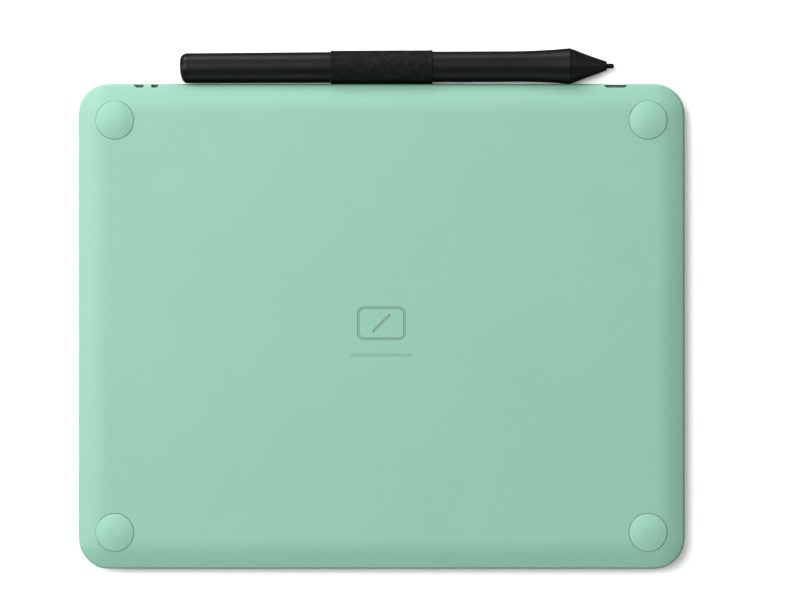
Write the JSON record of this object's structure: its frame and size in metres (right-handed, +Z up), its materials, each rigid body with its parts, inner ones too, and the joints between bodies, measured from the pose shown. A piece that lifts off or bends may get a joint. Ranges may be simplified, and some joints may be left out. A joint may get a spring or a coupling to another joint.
{
  "type": "pen drawing tablet",
  "caption": "Slim pen drawing tablet with a pale green back shell, domed feet, a black drawing face with keys in a pen tray, and a black pen held in a fabric loop.",
  "frame": {"origin": "under the middle of the box round tablet and pen, on the surface that the feet stand on", "axes": "+Z up out of the drawing surface; +Y towards the edge with the pen loop; +X to the right seen from the front edge"},
  "size_m": [0.2, 0.172, 0.0121],
  "materials": {
    "shell_green": "fine satin moulded plastic, pale green",
    "foot_green": "smooth matte rubber, pale green",
    "cover_black": "fine matte texture",
    "drawing_sheet": "paper-like grain",
    "strip_green": "satin, dark green",
    "key_black": "satin",
    "light_lens": "clear frosted",
    "board_green": "solder mask",
    "chip_black": "moulded epoxy",
    "connector_white": "moulded nylon",
    "steel": "plated",
    "flex_amber": "polyimide film",
    "cell_foil": "laminated foil",
    "wire_black": "wire jacket",
    "loop_fabric": "woven elastic band",
    "pen_black": "satin soft-touch",
    "nib_black": "smooth acetal",
    "pen_frame": "moulded plastic",
    "ferrite_grey": "sintered ferrite",
    "copper": "enamelled copper wire"
  },
  "bodies": {
    "tablet": {"back_cover": "shell_green", "front_cover": "cover_black", "surface_sheet": "drawing_sheet", "foot_rear_left": "foot_green", "foot_rear_right": "foot_green", "foot_front_left": "foot_green", "foot_front_right": "foot_green", "main_board": "board_green", "board_chips": "chip_black", "wireless_module": "steel", "key_switches": "chip_black", "status_led": "light_lens", "usb_port": "steel", "usb_strip": "strip_green", "ribbon_connector": "chip_black", "battery_connector": "connector_white", "board_screws": "steel", "cover_screws": "steel", "sensor_board": "board_green", "shield_sheet": "steel", "sensor_cable": "flex_amber", "battery": "cell_foil", "battery_lead": "wire_black", "pen_loop": "loop_fabric", "loop_anchor": "steel"},
    "key_outer_left": {"key_outer_left": "key_black"},
    "key_inner_left": {"key_inner_left": "key_black"},
    "key_inner_right": {"key_inner_right": "key_black"},
    "key_outer_right": {"key_outer_right": "key_black"},
    "power_button": {"power_button": "key_black", "status_light_pipe": "light_lens"},
    "pen": {"pen_rear_barrel": "pen_black", "pen_front_barrel": "pen_black", "pen_nose_cone": "pen_black", "pen_ferrite": "ferrite_grey", "pen_coil": "copper", "pen_pressure_sensor": "chip_black", "pen_chassis": "pen_frame", "pen_board": "board_green", "pen_chip": "chip_black", "pen_switch_domes": "steel", "pen_switch_pin": "steel", "pen_nib_holder": "pen_frame", "pen_spare_nibs": "nib_black"},
    "pen_nib": {"pen_nib": "nib_black"},
    "pen_side_switch": {"pen_side_switch": "pen_black"},
    "pen_end_cap": {"pen_end_cap": "pen_black"}
  },
  "joints": [
    {"name": "key_outer_left_press", "type": "slide", "parent": "tablet", "child": "key_outer_left", "axis": [0, 0, -1], "range_m": [0, 0.0004], "stiffness_N_per_m": 1500, "springref_m": -0.0003},
    {"name": "key_inner_left_press", "type": "slide", "parent": "tablet", "child": "key_inner_left", "axis": [0, 0, -1], "range_m": [0, 0.0004], "stiffness_N_per_m": 1500, "springref_m": -0.0003},
    {"name": "key_inner_right_press", "type": "slide", "parent": "tablet", "child": "key_inner_right", "axis": [0, 0, -1], "range_m": [0, 0.0004], "stiffness_N_per_m": 1500, "springref_m": -0.0003},
    {"name": "key_outer_right_press", "type": "slide", "parent": "tablet", "child": "key_outer_right", "axis": [0, 0, -1], "range_m": [0, 0.0004], "stiffness_N_per_m": 1500, "springref_m": -0.0003},
    {"name": "power_button_press", "type": "slide", "parent": "tablet", "child": "power_button", "axis": [0, 0, -1], "range_m": [0, 0.00035], "stiffness_N_per_m": 1500, "springref_m": -0.0003},
    {"name": "pen_slide", "type": "slide", "parent": "tablet", "child": "pen", "axis": [-1, 0.0051, 0], "range_m": [0, 0.092]},
    {"name": "nib_press", "type": "slide", "parent": "pen", "child": "pen_nib", "axis": [1, -0.0051, 0], "range_m": [0, 0.0003], "stiffness_N_per_m": 2000, "springref_m": -0.0001},
    {"name": "side_switch_rock", "type": "hinge", "parent": "pen", "child": "pen_side_switch", "pos_m": [-0.03535, 0.07988, 0.0091], "axis": [-0.0051, -1, 0], "range_deg": [-2.5, 2.5], "stiffness_Nm_per_rad": 0.1},
    {"name": "end_cap_pull", "type": "slide", "parent": "pen", "child": "pen_end_cap", "axis": [1, -0.0051, 0], "range_m": [0, 0.015]}
  ]
}
